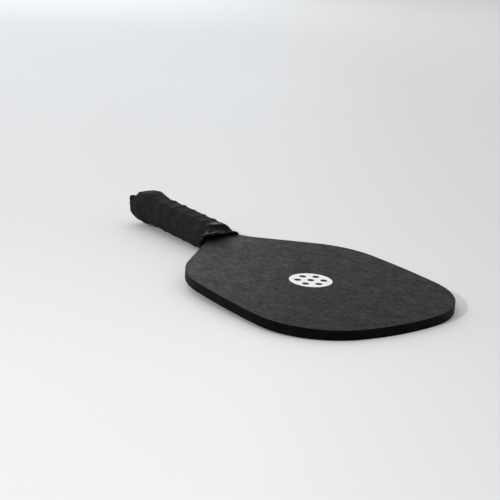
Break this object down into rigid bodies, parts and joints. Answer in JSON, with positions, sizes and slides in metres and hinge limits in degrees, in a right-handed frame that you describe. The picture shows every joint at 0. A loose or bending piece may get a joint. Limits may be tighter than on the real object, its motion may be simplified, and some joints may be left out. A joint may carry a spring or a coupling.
{
  "type": "pickleball paddle",
  "caption": "Flat rounded racket-sport paddle with square black sides and no edge guard, an octagonal wrapped handle that flares at the butt, and a rubber collar at the throat.",
  "frame": {"origin": "centre of the butt's end face, on the blade's middle plane", "axes": "+X along the paddle from the butt to the blade's tip, +Y across the blade, +Z out of the front face"},
  "size_m": [0.406, 0.198, 0.0298],
  "materials": {
    "core_plastic": "natural extruded plastic honeycomb",
    "core_foam": "dark closed-cell foam",
    "bond_film": "cured adhesive film",
    "face_sheet": "matte charcoal fibre laminate with a fine mottled grain",
    "edge_band": "satin black",
    "mark_ink": "flat white ink",
    "handle_wood": "light unfinished wood",
    "cap_plastic": "moulded black plastic with a light texture",
    "staple_steel": "bright steel wire",
    "badge": "blank dark grey sticker",
    "base_grip": "cushioned synthetic grip",
    "tape": "thin black finishing tape",
    "overgrip": "matte black tacky wrap with a fine grain",
    "collar_rubber": "glossy black stretched rubber"
  },
  "bodies": {
    "root": {"honeycomb_core": "core_plastic", "edge_foam": "core_foam", "front_bond_film": "bond_film", "back_bond_film": "bond_film", "front_skin": "face_sheet", "back_skin": "face_sheet", "edge_band": "edge_band", "front_mark": "mark_ink", "back_mark": "mark_ink", "front_handle_pallet": "handle_wood", "back_handle_pallet": "handle_wood", "butt_cap": "cap_plastic", "butt_cap_staples": "staple_steel", "butt_badge": "badge", "base_grip": "base_grip", "base_grip_tape": "tape", "overgrip": "overgrip", "grip_collar": "collar_rubber"}
  },
  "joints": []
}
